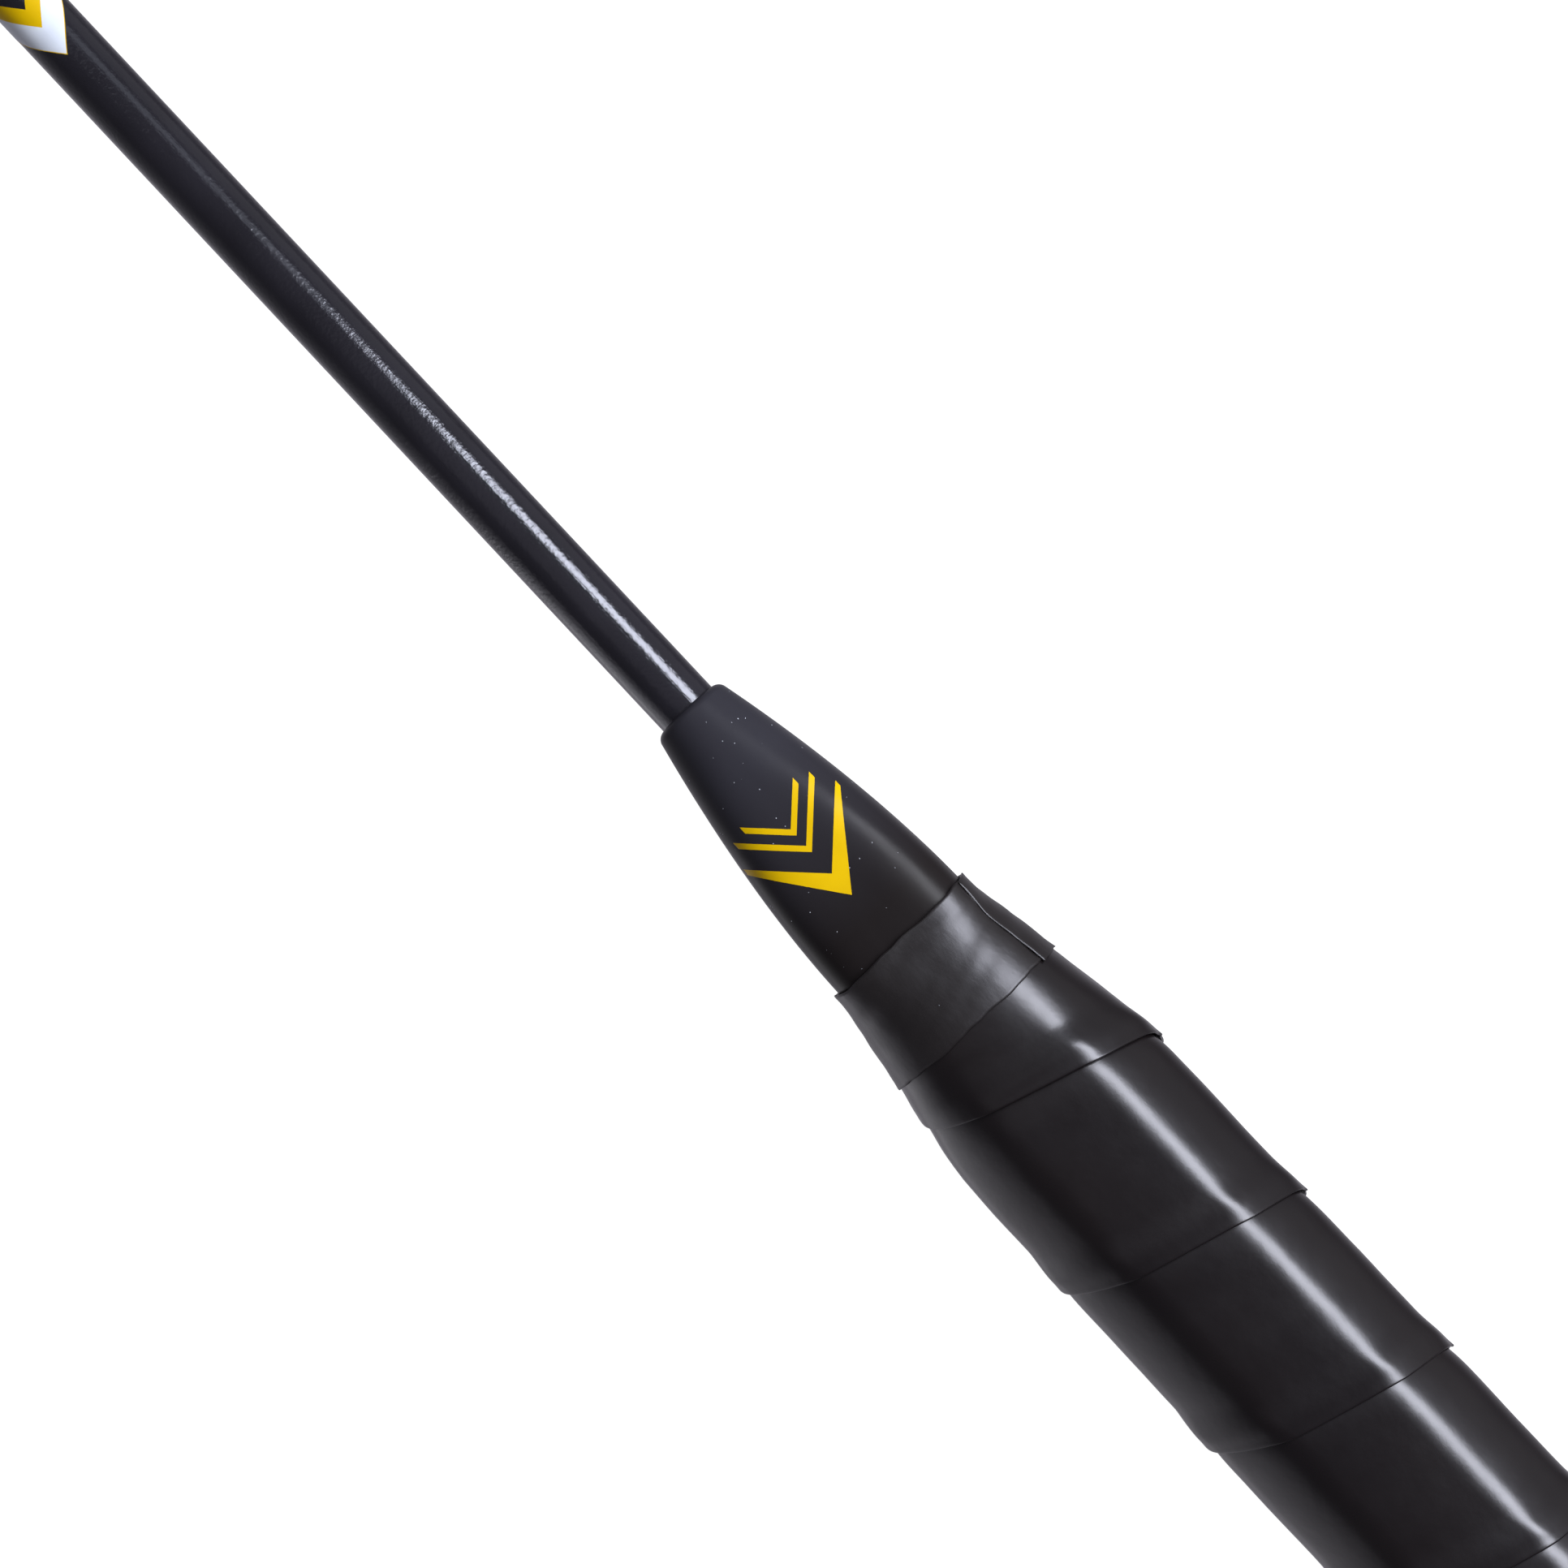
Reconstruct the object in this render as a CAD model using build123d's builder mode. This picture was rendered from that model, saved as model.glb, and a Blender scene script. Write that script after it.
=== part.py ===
"""Badminton racket: a strung carbon hoop on a slim round shaft, with a cone-capped octagonal wrapped handle.

The racket lies flat. The origin is the centre of the butt's end face, +Y runs along the handle and the shaft
to the tip of the head, +X is to the right and +Z is normal to the string bed.
"""
from build123d import *
import os
from collections import namedtuple
from math import acos, asin, ceil, cos, degrees, radians, sin, tan

os.makedirs("parts", exist_ok=True)

# ---- driving dimensions, mm -------------------------------------------------------------------------------

overall_length = 675.0
head_width = 202.0

# Hoop tube: its section has a string groove on the outer side
tube_outer = 4.6  # centreline to the outer side
tube_inner = 4.4  # centreline to the inner side
tube_height = 10.5
tube_corner = 4.0
tube_wall = 1.1
groove_depth = 1.2
groove_width = 3.4
groove_lip_round = 0.4
cavity_corner = 2.2
tolerance = 0.01

# Hoop centreline: tangent arcs, by their heading from the tip (0 degrees) to the throat (180 degrees)
arc_headings = [0, 35, 75, 106, 148, 180]
tip_radius = 100.0
side_radius = 230.0
lower_radius = 82.0

# Strings
string_diameter = 0.70
mains_per_side = 11
main_pitch = 7.8
main_fan = 5.0  # how much further out the innermost main meets the throat
cross_count = 21
cross_pitch = 9.1
middle_cross_y = 548.0
string_plane = 0.4  # mains lie this far above the middle plane, crosses this far below it
bend_reach = 1.0  # length that each bend takes from its two straight runs
bend_gap = 0.2  # straight string between a sleeve's tip and the next bend
groove_step = 6.0  # longest straight run in the groove
string_lift = 0.08  # clearance between a string in the groove and the flanges under it
knot_radius = 1.0
knot_turn_spacing = 1.1
main_tie_after = 17  # each main's end ties off just below this cross
cross_tie_after = 6  # each cross's end ties off just outside this main

# Grommet sleeves
sleeve_radius = 1.25
sleeve_bore_radius = 0.9
sleeve_proud = 1.0  # how far the tip stands inside the hoop
flange_radius = 1.6
flange_thickness = 0.5

# Shaft and T-joint
shaft_diameter = 7.2
shaft_bore = 4.6
shaft_top_y = 402.0
shaft_bottom_y = 130.0
spigot_length = 18.0
peg_radius = 2.2
peg_reach = 1.6  # centreline of the hoop to the peg's end
peg_base = 10.0  # shaft's end to the peg's lower end, inside the joint

# T-joint's sections: distance from the shaft's end, width, height
joint_stations = [
    (0.0, 7.2, 7.2),
    (6.0, 7.6, 7.5),
    (12.0, 9.2, 8.7),
    (19.5, 13.2, 9.9),
]

# Cone cap
cone_mouth_y = 205.0
cone_base_y = 165.0
cone_base_width = 18.0
cone_bore_radius = shaft_diameter / 2 + 0.05
nose_top_y = 197.0
nose_top_radius = 4.9
nose_base_radius = 7.2
nose_clearance = 0.1
nose_root = 1.0  # how deep the nose starts inside the core

# Handle: wooden core, adhesive layer, wrap and tape
core_width = 23.0
butt_flare = 4.4  # how much wider the handle is at the butt
middle_flare = 2.0  # the same halfway down the flare
wrapped_width = 26.0
flatness = 0.9  # height of the octagon over its width
cone_flatness = 0.94  # the same at the cone's base
bevel_share = 0.2423  # leg of a bevel over the octagon's width
core_corner = 0.035  # rounding of the octagon's corners over its width
wrap_corner = 0.075  # the same on the wrap
core_bottom_y = 4.5
flare_start_y = 35.0
full_octagon_y = 148.0
adhesive = 0.15
wrap_top_y = 168.5
# Wrap's shoulder above the grip: place along the handle, width
wrap_shoulder = [
    (142.0, wrapped_width),
    (149.3, 25.7),
    (154.6, 24.2),
]
tape_top_y = 171.4
tape_bottom_y = 159.4
tape_thickness = 0.5
# Wrap's outside under the tape: place along the handle, width
tape_seat = [
    (tape_bottom_y, 21.9),
    (cone_base_y, 19.8),
    (wrap_top_y, 18.8),
]
tape_mouth_width = 18.15
cone_clearance = 0.1  # between the cone and the wrap round it, over both sides

# Butt
butt_width = 31.0
butt_edge_round = 1.2
butt_plug_radius = 6.0
butt_plug_depth = 10.0
badge_radius = 8.0
badge_thickness = 0.6

# Staple that holds the start of the wrap
staple_wire = 0.6
staple_crown = 8.0
staple_leg = 5.0
staple_y = 14.0
staple_proud = 1.0  # how far the crown stands out of the core

# ---- the hoop's centreline --------------------------------------------------------------------------------

half_width = head_width / 2 - tube_outer
tip_y = overall_length - tube_outer
sines = [sin(radians(heading)) for heading in arc_headings]
corner_width = half_width - tip_radius * (sines[1] - sines[0]) - side_radius * (1 - sines[2])
corner_radius = corner_width / (sines[2] - sines[1])
throat_width = half_width - side_radius * (1 - sines[3]) - lower_radius * (sines[3] - sines[4])
throat_radius = throat_width / sines[4]
arc_radii = [tip_radius, corner_radius, side_radius, lower_radius, throat_radius]

Arc = namedtuple("Arc", "x y radius heading_in heading_out start")


def lay_arcs():
    """Chain the right half's arcs from the tip to the throat; start is the run along the hoop so far."""
    arcs = []
    x, y, run = 0.0, tip_y, 0.0
    for radius, heading_in, heading_out in zip(arc_radii, arc_headings, arc_headings[1:]):
        centre_x = x - radius * sin(radians(heading_in))
        centre_y = y - radius * cos(radians(heading_in))
        arcs.append(Arc(centre_x, centre_y, radius, heading_in, heading_out, run))
        x = centre_x + radius * sin(radians(heading_out))
        y = centre_y + radius * cos(radians(heading_out))
        run += radius * radians(heading_out - heading_in)
    return arcs, y


hoop_arcs, throat_y = lay_arcs()


def outward(run):
    """The hoop's outward normal at a run from the tip; a negative run is on the left half."""
    for arc in hoop_arcs:
        heading = arc.heading_in + degrees((abs(run) - arc.start) / arc.radius)
        if heading <= arc.heading_out:
            break
    side = 1 if run >= 0 else -1
    return arc, side, sin(radians(heading)), cos(radians(heading))


def spot(run, offset):
    """A point in the hoop's plane, offset outwards from the centreline."""
    arc, side, across, along = outward(run)
    reach = arc.radius + offset
    return (side * (arc.x + reach * across), arc.y + reach * along)


def hoop_place(run, offset=0.0, height=0.0):
    """A location by the hoop whose local Z points out of it; height is above the middle plane."""
    _, side, across, along = outward(run)
    return Location(Plane(origin=(*spot(run, offset), height), z_dir=(side * across, along, 0)))


# ---- string layout ----------------------------------------------------------------------------------------

mouth_inset = tube_inner + sleeve_proud + bend_reach + bend_gap
groove_floor = tube_outer - groove_depth
groove_line = groove_floor + flange_thickness + string_lift + string_diameter / 2


def run_of_main(x, at_tip):
    """Run of the hole whose mouth lies at x, near the tip or near the throat."""
    for arc in hoop_arcs:
        share = (x - arc.x) / (arc.radius - mouth_inset)
        if abs(share) > 1:
            continue
        heading = degrees(asin(share)) if at_tip else 180 - degrees(asin(share))
        if arc.heading_in <= heading <= arc.heading_out:
            return arc.start + arc.radius * radians(heading - arc.heading_in)
    raise ValueError(f"no hole for the main at {x}")


def run_of_cross(y):
    """Run of the hole whose mouth lies at y."""
    for arc in hoop_arcs:
        share = (y - arc.y) / (arc.radius - mouth_inset)
        if abs(share) > 1:
            continue
        heading = degrees(acos(share))
        if arc.heading_in <= heading <= arc.heading_out:
            return arc.start + arc.radius * radians(heading - arc.heading_in)
    raise ValueError(f"no hole for the cross at {y}")


main_tips = []
main_throats = []
for number in range(mains_per_side):
    place = number + 0.5
    fan = main_fan * (1 - place / (mains_per_side - 0.5))
    main_tips.append(run_of_main(main_pitch * place, True))
    main_throats.append(run_of_main(main_pitch * place + fan, False))

cross_runs = []
for number in range(cross_count):
    cross_runs.append(run_of_cross(middle_cross_y + cross_pitch * ((cross_count - 1) / 2 - number)))

# Each string's two ends come back in through a tie-off hole midway between two neighbours
main_tie = sum(cross_runs[main_tie_after:main_tie_after + 2]) / 2
cross_tie_top = sum(main_tips[cross_tie_after:cross_tie_after + 2]) / 2
cross_tie_bottom = sum(main_throats[cross_tie_after:cross_tie_after + 2]) / 2

# Mains: up and down the left side, over the tip, and down and up the right side
right_holes = []
for number in range(mains_per_side):
    pair = [main_tips[number], main_throats[number]]
    right_holes += pair if number % 2 == 0 else pair[::-1]
right_holes.append(main_tie)
main_holes = [-run for run in right_holes[::-1]] + right_holes

# Crosses: from side to side, from the tip to the throat
cross_holes = [cross_tie_top]
for number, run in enumerate(cross_runs):
    cross_holes += [run, -run] if number % 2 == 0 else [-run, run]
cross_holes.append(-cross_tie_bottom)


def groove_points(run_out, run_in):
    """A string's points in the groove, from the hole where it comes out to the one where it goes in."""
    steps = ceil(abs(run_in - run_out) / groove_step)
    return [spot(run_out + (run_in - run_out) * step / steps, groove_line) for step in range(steps + 1)]


def string_points(holes):
    """A string's route: out of one hole, along the groove, in through the next and across the head."""
    tail = mouth_inset + knot_turn_spacing
    points = [spot(holes[0], -tail)]
    for run_out, run_in in zip(holes[::2], holes[1::2]):
        if run_out != holes[0]:
            points.append(spot(run_out, -mouth_inset))
        points += groove_points(run_out, run_in)
        if run_in != holes[-1]:
            points.append(spot(run_in, -mouth_inset))
    points.append(spot(holes[-1], -tail))
    return points


def bend_list(points, least_turn=0.3):
    """Drop the points that barely turn; each bend's radius takes bend_reach from its runs."""
    kept = [points[0]]
    radii = []
    for point, following in zip(points[1:], points[2:]):
        before = Vector(*point) - Vector(*kept[-1])
        after = Vector(*following) - Vector(*point)
        turn = before.get_angle(after)
        if turn > least_turn:
            kept.append(point)
            radii.append(bend_reach / tan(radians(turn) / 2))
    kept.append(points[-1])
    return kept, radii


def string_route(holes, plane_z):
    """The string's line in its own plane, as straight runs joined by tangent arcs."""
    points, radii = bend_list(string_points(holes))
    with BuildLine(Plane.XY.offset(plane_z)) as route:
        FilletPolyline(*points, radius=radii)
    return route


def knot_places(holes, plane_z):
    """Places of the two turns of the knot on each of a string's ends."""
    insets = [-mouth_inset, -mouth_inset - knot_turn_spacing]
    return [hoop_place(run, inset, plane_z) for run in (holes[0], holes[-1]) for inset in insets]


# ---- head -------------------------------------------------------------------------------------------------

with BuildLine() as centreline:
    for arc in hoop_arcs:
        sweep_angle = arc.heading_out - arc.heading_in
        CenterArc((arc.x, arc.y), arc.radius, 90 - arc.heading_in, -sweep_angle)
    mirror(about=Plane.YZ)

tube_plane = Plane(origin=(0, tip_y, 0), x_dir=(0, 1, 0), z_dir=(1, 0, 0))
tube_middle = (tube_outer - tube_inner) / 2
cavity_outer = groove_floor - tube_wall
cavity_inner = tube_wall - tube_inner

with BuildPart() as hoop_blank:
    with BuildSketch(tube_plane) as tube_section:
        with Locations((tube_middle, 0)):
            RectangleRounded(tube_outer + tube_inner, tube_height, tube_corner)
        with Locations((tube_outer, 0)):
            Rectangle(2 * groove_depth, groove_width, mode=Mode.SUBTRACT)
        lips = tube_section.vertices().filter_by_position(Axis.Y, tip_y + groove_floor + tolerance, overall_length)
        half_mouth = groove_width / 2 + tolerance
        fillet(lips.filter_by_position(Axis.Z, -half_mouth, half_mouth), groove_lip_round)
    sweep(path=centreline.wire())

with BuildPart() as head_frame:
    add(hoop_blank.part)
    with BuildSketch(tube_plane):
        with Locations(((cavity_outer + cavity_inner) / 2, 0)):
            cavity_height = tube_height - 2 * tube_wall
            RectangleRounded(cavity_outer - cavity_inner, cavity_height, cavity_corner)
    sweep(path=centreline.wire(), mode=Mode.SUBTRACT)
    sleeve_runs = sorted(set(main_holes + cross_holes))
    with Locations(*[hoop_place(run) for run in sleeve_runs]):
        Cylinder(sleeve_radius, 2 * (tube_outer + tube_inner), mode=Mode.SUBTRACT)
    with Locations(Location((0, throat_y - tube_outer, 0), (-90, 0, 0))):
        Cylinder(peg_radius, 2 * (tube_outer - peg_reach), mode=Mode.SUBTRACT)
head_frame.part.label = "head_frame"
export_step(head_frame.part, "parts/head_frame.step")

with BuildPart() as t_joint:
    for rise, width, height in joint_stations:
        with BuildSketch(Plane(origin=(0, shaft_top_y + rise, 0), x_dir=(1, 0, 0), z_dir=(0, 1, 0))):
            Ellipse(width / 2, height / 2)
    loft()
    add(hoop_blank.part, mode=Mode.SUBTRACT)
    with BuildSketch(Plane.XY):
        with Locations((0, shaft_top_y - spigot_length)):
            Rectangle(shaft_bore / 2, spigot_length + 1, align=(Align.MIN, Align.MIN))
        with Locations((0, shaft_top_y + peg_base)):
            peg_length = throat_y - peg_reach - shaft_top_y - peg_base
            Rectangle(peg_radius, peg_length, align=(Align.MIN, Align.MIN))
    revolve(axis=Axis.Y)
t_joint.part.label = "t_joint"
export_step(t_joint.part, "parts/t_joint.step")


def string_solid(name, holes, plane_z):
    """One continuous string with a two-turn knot on each end."""
    route = string_route(holes, plane_z)
    with BuildPart() as string:
        with BuildSketch(Plane(origin=route.wire() @ 0, x_dir=(0, 0, 1), z_dir=route.wire() % 0)):
            Circle(string_diameter / 2)
        sweep(path=route.wire())
        with Locations(*knot_places(holes, plane_z)):
            Sphere(knot_radius)
    string.part.label = name
    export_step(string.part, f"parts/{name}.step")


string_solid("main_string", main_holes, string_plane)
string_solid("cross_string", cross_holes, -string_plane)


def sleeve_set(name, runs):
    """A group of grommets, each a sleeve through the hoop with a flange in the groove."""
    places = [hoop_place(run) for run in runs]
    tip = tube_inner + sleeve_proud
    seat = (Align.CENTER, Align.CENTER, Align.MIN)
    with BuildPart() as sleeves:
        with Locations(*[place * Location((0, 0, -tip)) for place in places]):
            Cylinder(sleeve_radius, tip + groove_floor + flange_thickness, align=seat)
        with Locations(*[place * Location((0, 0, groove_floor)) for place in places]):
            Cylinder(flange_radius, flange_thickness, align=seat)
        with Locations(*places):
            Cylinder(sleeve_bore_radius, 3 * tip, mode=Mode.SUBTRACT)
    sleeves.part.label = name
    export_step(sleeves.part, f"parts/{name}.step")


sleeve_set("top_grommets", [-run for run in main_tips] + main_tips)
sleeve_set("throat_grommets", [-run for run in main_throats] + main_throats)
sleeve_set("left_grommets", [-run for run in cross_runs])
sleeve_set("right_grommets", cross_runs)
sleeve_set("tie_off_grommets", [-main_tie, main_tie, cross_tie_top, -cross_tie_bottom])

# ---- shaft ------------------------------------------------------------------------------------------------

with BuildPart() as shaft:
    with BuildSketch(Plane(origin=(0, shaft_bottom_y, 0), z_dir=(0, 1, 0))):
        Circle(shaft_diameter / 2)
        Circle(shaft_bore / 2, mode=Mode.SUBTRACT)
    extrude(amount=shaft_top_y - shaft_bottom_y)
shaft.part.label = "shaft"
export_step(shaft.part, "parts/shaft.step")

# ---- handle -----------------------------------------------------------------------------------------------


def octagon_at(y, width, corner, squash, bevel=bevel_share):
    """A rounded octagon across the handle; corner and bevel are shares of its width."""
    with BuildSketch(Plane(origin=(0, y, 0), x_dir=(1, 0, 0), z_dir=(0, 1, 0))) as section:
        Rectangle(width, width * squash)
        chamfer(section.vertices(), width * bevel)
        fillet(section.vertices(), width * corner)
    return section.sketch


# Cone: nearly round at its mouth, a rounded octagon at its base. Each row is the distance from the mouth,
# width, height over width, bevel share and corner share.
cone_stations = [
    (0.0, 8.9, 1.0, 0.2929, 0.48),
    (1.5, 9.5, 1.0, 0.2929, 0.46),
    (8.0, 12.3, 0.99, 0.288, 0.40),
    (16.0, 15.1, 0.97, 0.278, 0.30),
    (24.0, 16.9, 0.95, 0.268, 0.20),
    (33.0, 17.9, cone_flatness, 0.26, 0.14),
    (cone_mouth_y - cone_base_y, cone_base_width, cone_flatness, 0.26, 0.14),
]

with BuildPart() as cone_cap:
    cone_sections = []
    for depth, width, squash, bevel, corner in cone_stations:
        cone_sections.append(octagon_at(cone_mouth_y - depth, width, corner, squash, bevel))
    loft(cone_sections)
    with BuildSketch(Plane.XY):
        with BuildLine():
            Polyline(
                (0, cone_base_y),
                (nose_base_radius + nose_clearance, cone_base_y),
                (nose_top_radius + nose_clearance, nose_top_y),
                (cone_bore_radius, nose_top_y),
                (cone_bore_radius, cone_mouth_y),
                (0, cone_mouth_y),
                close=True,
            )
        make_face()
    revolve(axis=Axis.Y, mode=Mode.SUBTRACT)
cone_cap.part.label = "cone_cap"
export_step(cone_cap.part, "parts/cone_cap.step")

# Wooden core from the butt up: flared butt, parallel grip, shoulder under the tape
core_stations = [
    (core_bottom_y, core_width + butt_flare),
    (flare_start_y / 2, core_width + middle_flare),
    (flare_start_y, core_width),
    (full_octagon_y, core_width),
    (cone_base_y, cone_base_width),
]
# Outside of the wrap from the butt up
wrap_stations = [
    (core_bottom_y, wrapped_width + butt_flare),
    (flare_start_y / 2, wrapped_width + middle_flare),
    (flare_start_y, wrapped_width),
    *wrap_shoulder,
    *tape_seat,
]


def squash_at(y):
    """Height over width along the handle: the grip's own, easing to the cone's under the tape."""
    share = (y - full_octagon_y) / (cone_base_y - full_octagon_y)
    return flatness + (cone_flatness - flatness) * min(1, max(0, share))


def octagons(stations, corner, grow=0.0):
    """Octagons across the handle for a straight-sided loft, all grown outwards by the same amount."""
    return [octagon_at(y, width + 2 * grow, corner, squash_at(y)) for y, width in stations]


from_leg_tips = (Align.MIN, Align.CENTER, Align.CENTER)

with BuildPart() as grip_staple:
    with Locations((core_width / 2 + staple_proud - staple_leg, staple_y, 0)):
        Box(staple_leg, staple_crown, staple_wire, align=from_leg_tips)
        inner_crown = staple_crown - 2 * staple_wire
        Box(staple_leg - staple_wire, inner_crown, staple_wire, align=from_leg_tips, mode=Mode.SUBTRACT)
grip_staple.part.label = "grip_staple"
export_step(grip_staple.part, "parts/grip_staple.step")

with BuildPart() as core_blank:
    loft(octagons(core_stations, core_corner), ruled=True)

with BuildPart() as handle_core:
    add(core_blank.part)
    with BuildSketch(Plane.XY):
        with BuildLine():
            Polyline(
                (0, cone_base_y - nose_root),
                (nose_base_radius, cone_base_y - nose_root),
                (nose_base_radius, cone_base_y),
                (nose_top_radius, nose_top_y),
                (0, nose_top_y),
                close=True,
            )
        make_face()
    revolve(axis=Axis.Y)
    with BuildSketch(Plane(origin=(0, shaft_bottom_y, 0), z_dir=(0, 1, 0))):
        Circle(shaft_diameter / 2)
    extrude(amount=nose_top_y - shaft_bottom_y, mode=Mode.SUBTRACT)
    with BuildSketch(Plane(origin=(0, core_bottom_y, 0), z_dir=(0, 1, 0))):
        Circle(butt_plug_radius)
    extrude(amount=butt_plug_depth, mode=Mode.SUBTRACT)
    add(grip_staple.part, mode=Mode.SUBTRACT)
handle_core.part.label = "handle_core"
export_step(handle_core.part, "parts/handle_core.step")

with BuildPart() as adhesive_blank:
    loft(octagons(core_stations, core_corner, adhesive), ruled=True)

with BuildPart() as grip_adhesive:
    add(adhesive_blank.part)
    add(core_blank.part, mode=Mode.SUBTRACT)
    add(grip_staple.part, mode=Mode.SUBTRACT)
grip_adhesive.part.label = "grip_adhesive"
export_step(grip_adhesive.part, "parts/grip_adhesive.step")

with BuildPart() as wrap_blank:
    loft(octagons(wrap_stations, wrap_corner), ruled=True)

with BuildPart() as cone_envelope:
    _, width, squash, bevel, corner = cone_stations[-1]
    envelope_length = tape_top_y - cone_base_y + 1
    extrude(octagon_at(cone_base_y, width + cone_clearance, corner, squash, bevel), amount=envelope_length)

with BuildPart() as grip_wrap:
    add(wrap_blank.part)
    add(adhesive_blank.part, mode=Mode.SUBTRACT)
    add(cone_envelope.part, mode=Mode.SUBTRACT)
    add(grip_staple.part, mode=Mode.SUBTRACT)
grip_wrap.part.label = "grip_wrap"
export_step(grip_wrap.part, "parts/grip_wrap.step")

with BuildPart() as finishing_tape:
    tape_stations = [*tape_seat, (tape_top_y, tape_mouth_width)]
    loft(octagons(tape_stations, wrap_corner, tape_thickness), ruled=True)
    loft(octagons(tape_stations, wrap_corner), ruled=True, mode=Mode.SUBTRACT)
finishing_tape.part.label = "finishing_tape"
export_step(finishing_tape.part, "parts/finishing_tape.step")

# ---- butt -------------------------------------------------------------------------------------------------

with BuildPart() as butt_cap:
    extrude(octagon_at(0, butt_width, wrap_corner, flatness), amount=core_bottom_y)
    fillet(butt_cap.faces().sort_by(Axis.Y)[0].edges(), butt_edge_round)
    with BuildSketch(Plane(origin=(0, core_bottom_y, 0), z_dir=(0, 1, 0))):
        Circle(butt_plug_radius)
    extrude(amount=butt_plug_depth)
    with BuildSketch(Plane(origin=(0, 0, 0), z_dir=(0, 1, 0))):
        Circle(badge_radius)
    extrude(amount=badge_thickness, mode=Mode.SUBTRACT)
butt_cap.part.label = "butt_cap"
export_step(butt_cap.part, "parts/butt_cap.step")

with BuildPart() as butt_badge:
    with BuildSketch(Plane(origin=(0, 0, 0), z_dir=(0, 1, 0))):
        Circle(badge_radius)
    extrude(amount=badge_thickness)
butt_badge.part.label = "butt_badge"
export_step(butt_badge.part, "parts/butt_badge.step")
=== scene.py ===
"""Looks of a badminton racket that lies flat on a white sweep, seen from above at the cone and the grip."""

from math import ceil, cos, pi, radians, sin, tan

import bmesh
import bpy
import numpy as np
from mathutils import Matrix, Vector


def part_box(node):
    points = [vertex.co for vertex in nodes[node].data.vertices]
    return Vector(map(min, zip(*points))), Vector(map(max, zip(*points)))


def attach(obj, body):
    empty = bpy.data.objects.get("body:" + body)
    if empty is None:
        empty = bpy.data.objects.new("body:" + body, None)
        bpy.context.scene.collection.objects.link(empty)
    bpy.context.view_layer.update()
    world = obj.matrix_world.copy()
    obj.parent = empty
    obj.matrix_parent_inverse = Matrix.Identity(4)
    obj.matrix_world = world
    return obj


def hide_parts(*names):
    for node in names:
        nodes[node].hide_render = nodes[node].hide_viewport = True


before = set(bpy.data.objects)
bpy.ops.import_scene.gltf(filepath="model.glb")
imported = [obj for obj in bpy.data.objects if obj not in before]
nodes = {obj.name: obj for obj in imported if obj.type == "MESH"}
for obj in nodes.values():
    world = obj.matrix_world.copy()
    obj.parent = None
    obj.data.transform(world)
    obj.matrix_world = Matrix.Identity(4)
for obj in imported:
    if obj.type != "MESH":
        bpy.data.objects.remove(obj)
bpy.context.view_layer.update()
mm = 0.001

# ---- places from the frame, in metres ---------------------------------------------------------------------

shaft_low, shaft_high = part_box("shaft")
shaft_radius = (shaft_high.x - shaft_low.x) / 2
cone_low, cone_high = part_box("cone_cap")
mouth_y = cone_high.y
tape_low, tape_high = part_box("finishing_tape")
wrap_low, wrap_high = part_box("grip_wrap")
cap_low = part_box("butt_cap")[0]
hoop_low, hoop_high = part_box("head_frame")

# ---- camera -----------------------------------------------------------------------------------------------
# Above the cone, turned so that the handle runs to the lower right

axis_in_view = Vector((-0.6836, 0.7299))  # the racket's +Y in the picture, right and up
camera_place = Vector((9.0, 184.0, 315.0)) * mm
camera_target = Vector((2.1, 191.9, 0.0)) * mm
frame_width = 170.7 * mm  # of the racket's middle plane, across the picture
sensor = 36.0


def add_camera():
    """A perspective camera with the picture's up direction fixed by the handle's slope."""
    data = bpy.data.cameras.new("camera")
    camera = bpy.data.objects.new("camera", data)
    bpy.context.scene.collection.objects.link(camera)
    back = (camera_place - camera_target).normalized()
    picture_up = Vector((-axis_in_view.x, axis_in_view.y, 0.0))
    right = picture_up.cross(back).normalized()
    up = back.cross(right)
    camera.matrix_world = Matrix.Translation(camera_place) @ Matrix((right, up, back)).transposed().to_4x4()
    data.sensor_width = sensor
    data.lens = sensor * (camera_place - camera_target).length / frame_width
    data.clip_start = 0.01
    bpy.context.scene.camera = camera


# ---- mesh helpers -----------------------------------------------------------------------------------------


def mesh_piece(name, points, faces, material):
    """A smooth-shaded mesh object from points and faces."""
    mesh = bpy.data.meshes.new(name)
    mesh.from_pydata([tuple(point) for point in points], [], faces)
    mesh.validate()
    mesh.materials.append(material)
    piece = bpy.data.objects.new(name, mesh)
    bpy.context.scene.collection.objects.link(piece)
    for polygon in mesh.polygons:
        polygon.use_smooth = True
    return piece


def tube_faces(rings, sides):
    """Quads between rings of points that are numbered ring by ring; the ends stay open."""
    faces = []
    for ring in range(rings - 1):
        below = ring * sides
        above = below + sides
        for side in range(sides):
            beside = (side + 1) % sides
            faces.append((below + side, below + beside, above + beside, above + side))
    return faces


def place(piece, *replaced, slot):
    """Fix a piece to the racket in place of its CAD nodes."""
    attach(piece, "root")
    if replaced:
        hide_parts(*replaced)


def ease(values):
    """Smooth step from 0 to 1."""
    share = np.clip(values, 0, 1)
    return share * share * (3 - 2 * share)


def ripple(values, seed):
    """A smooth, repeatable wobble between about -1 and 1."""
    total = np.zeros_like(values, dtype=float)
    for order in range(1, 5):
        total += np.sin(values * order * 1.7 + seed * 2.3 * order + order * order) / order
    return total / 1.6


def bell(values, middle, reach):
    """A bump of height 1 at middle that fades to a third at reach."""
    return np.exp(-(((values - middle) / reach) ** 2))


# ---- materials --------------------------------------------------------------------------------------------


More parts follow.
